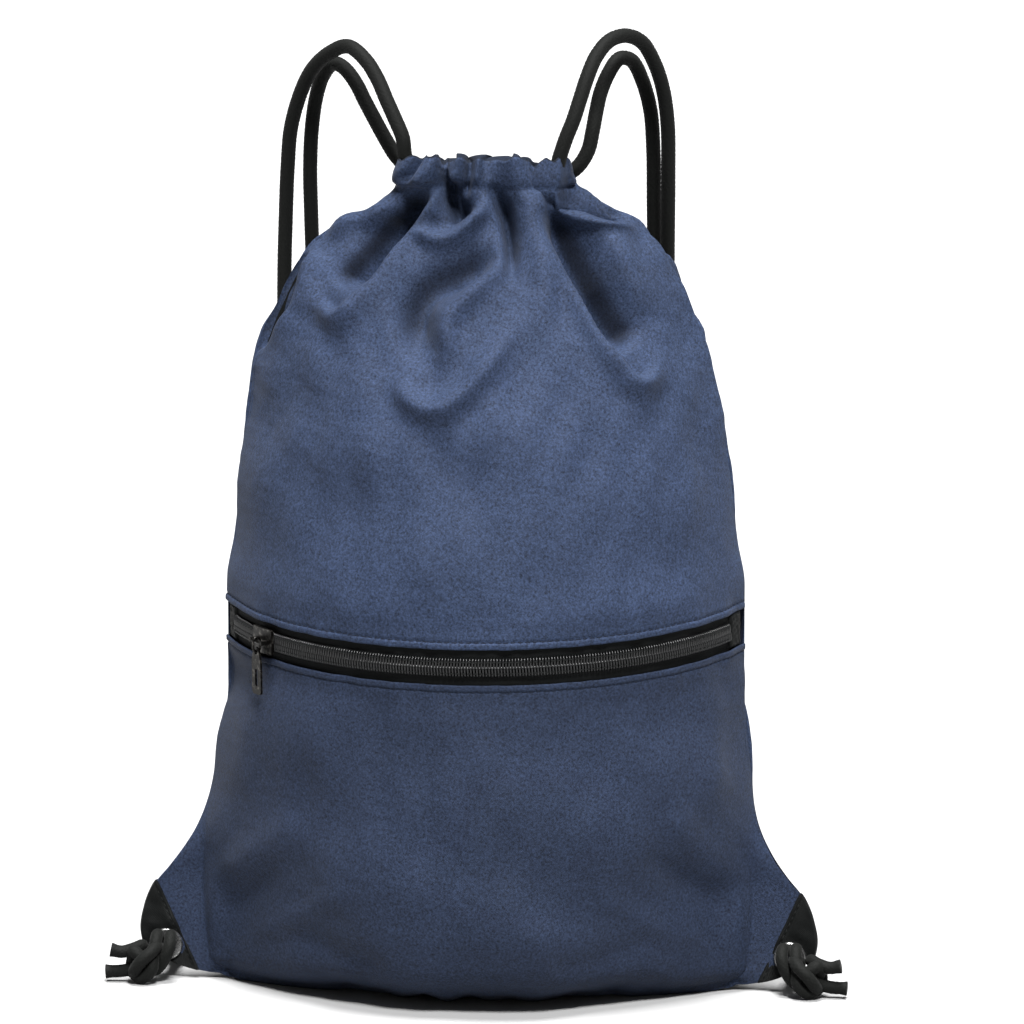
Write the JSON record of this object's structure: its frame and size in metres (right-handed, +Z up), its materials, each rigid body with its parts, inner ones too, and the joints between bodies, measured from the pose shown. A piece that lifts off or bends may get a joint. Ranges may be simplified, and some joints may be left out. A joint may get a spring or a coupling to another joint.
{
  "type": "drawstring backpack",
  "caption": "Filled cloth drawstring bag with a gathered neck, paired shoulder cords knotted through corner eyelets and a curved zipped front pocket.",
  "frame": {"origin": "centre of the bag's base on the floor, without its cords", "axes": "+Z up, +X to the right seen from the front, -Y to the front, where the zipped pocket is"},
  "size_m": [0.3742, 0.238, 0.4665],
  "materials": {
    "body_cloth": "navy coated polyester, fine satin weave",
    "lining_cloth": "thin navy polyester lining",
    "binding_tape": "black ribbed binding tape",
    "zip_tape": "black woven zip tape",
    "zip_teeth": "black nylon coil, satin",
    "zip_metal": "black painted zinc with gunmetal wear",
    "patch_cloth": "black coated cloth, matt",
    "eyelet_metal": "dark nickel plate",
    "cord_braid": "black braided polyester cord"
  },
  "bodies": {
    "bag": {"front_upper_panel": "body_cloth", "front_lower_panel": "body_cloth", "back_panel": "body_cloth", "pocket_lining": "lining_cloth", "front_casing": "body_cloth", "back_casing": "body_cloth", "side_binding_left": "binding_tape", "side_binding_right": "binding_tape", "bottom_binding": "binding_tape", "zip_tape_upper": "zip_tape", "zip_tape_lower": "zip_tape", "zip_coil_upper": "zip_teeth", "zip_coil_lower": "zip_teeth", "zip_end_tab_left": "binding_tape", "zip_end_tab_right": "binding_tape", "corner_patch_front_left": "patch_cloth", "corner_patch_front_right": "patch_cloth", "corner_patch_back_left": "patch_cloth", "corner_patch_back_right": "patch_cloth", "eyelet_left": "eyelet_metal", "eyelet_right": "eyelet_metal", "eyelet_washer_left": "eyelet_metal", "eyelet_washer_right": "eyelet_metal", "cord_left_front": "cord_braid", "cord_left_back": "cord_braid", "cord_right_front": "cord_braid", "cord_right_back": "cord_braid", "cord_tunnel_left": "cord_braid", "cord_tunnel_right": "cord_braid", "knot_left": "cord_braid", "knot_right": "cord_braid"},
    "slider": {"slider_body": "zip_metal", "slider_bridge": "zip_metal"},
    "pull_link": {"pull_link": "zip_metal"},
    "pull_tab": {"pull_tab": "zip_metal"}
  },
  "joints": [
    {"name": "slider_run", "type": "hinge", "parent": "bag", "child": "slider", "pos_m": [0, 0.04461, 0.1839], "axis": [0, -0.0872, 0.9962], "range_deg": [-8, 106]},
    {"name": "link_swing", "type": "hinge", "parent": "slider", "child": "pull_link", "pos_m": [-0.10515, -0.04645, 0.17594], "axis": [-0.6561, 0.7518, 0.0658], "range_deg": [0, 150]},
    {"name": "tab_swing", "type": "hinge", "parent": "pull_link", "child": "pull_tab", "pos_m": [-0.10515, -0.04601, 0.17086], "axis": [-0.7547, -0.6536, -0.0572], "range_deg": [-60, 60]}
  ]
}
